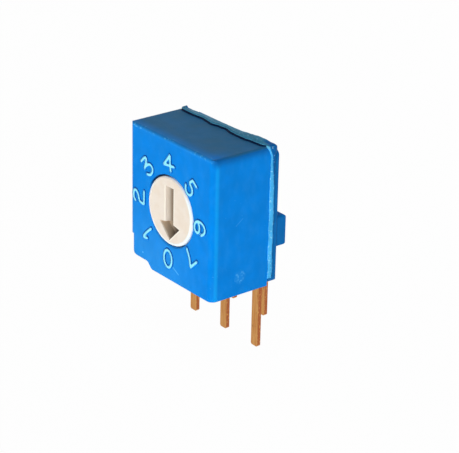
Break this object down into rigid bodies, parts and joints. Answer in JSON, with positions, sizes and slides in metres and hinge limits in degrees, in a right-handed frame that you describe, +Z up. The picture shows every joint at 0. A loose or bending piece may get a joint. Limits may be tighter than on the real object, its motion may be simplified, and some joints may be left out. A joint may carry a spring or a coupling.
{
  "type": "rotary dip switch",
  "caption": "Right-angle coded rotary switch for a printed board: boxy moulded housing, arrow dial with detents, sealed contacts and flat bent terminals.",
  "frame": {"origin": "on the printed board's surface, at the middle terminal of the front row", "axes": "+X to the right as seen from the dial's side, +Y from the dial to the back, +Z up from the board"},
  "size_m": [0.0072, 0.0062, 0.0114],
  "materials": {
    "housing": "bright blue moulded thermoplastic, satin gloss",
    "cover": "darker blue moulded thermoplastic",
    "bead": "light blue melted bead, glossy",
    "dial": "cream moulded thermoplastic, satin",
    "seal": "black rubber ring",
    "washer": "stamped sheet",
    "cage": "black moulded thermoplastic",
    "balls": "polished steel",
    "springs": "drawn wire",
    "wiper": "gold-flashed spring sheet",
    "contact_board": "glass-filled laminate",
    "tracks": "gold-plated copper",
    "terminals": "copper-alloy sheet with a warm plating, drawn streaks"
  },
  "bodies": {
    "switch_body": {"housing": "housing", "rear_cover": "cover", "weld_bead": "bead", "dial_seal": "seal", "thrust_washer": "washer", "ball_cage": "cage", "left_spring": "springs", "right_spring": "springs", "contact_board": "contact_board", "common_track": "tracks", "track_1": "tracks", "track_2": "tracks", "track_4": "tracks", "terminal_1": "terminals", "terminal_4": "terminals", "front_common_terminal": "terminals", "terminal_2": "terminals", "rear_common_terminal": "terminals"},
    "rotor": {"dial": "dial", "wiper": "wiper"},
    "left_detent": {"left_ball": "balls"},
    "right_detent": {"right_ball": "balls"}
  },
  "joints": [
    {"name": "dial_turn", "type": "hinge", "parent": "switch_body", "child": "rotor", "pos_m": [0, -0.0026, 0.00371], "axis": [0, 1, 0], "continuous": true},
    {"name": "left_ball_lift", "type": "slide", "parent": "switch_body", "child": "left_detent", "axis": [0, 1, 0], "range_m": [0, 0.0001], "stiffness_N_per_m": 860, "springref_m": -0.0003, "deforming": ["left_spring"]},
    {"name": "right_ball_lift", "type": "slide", "parent": "switch_body", "child": "right_detent", "axis": [0, 1, 0], "range_m": [0, 0.0001], "stiffness_N_per_m": 860, "springref_m": -0.0003, "deforming": ["right_spring"]}
  ]
}
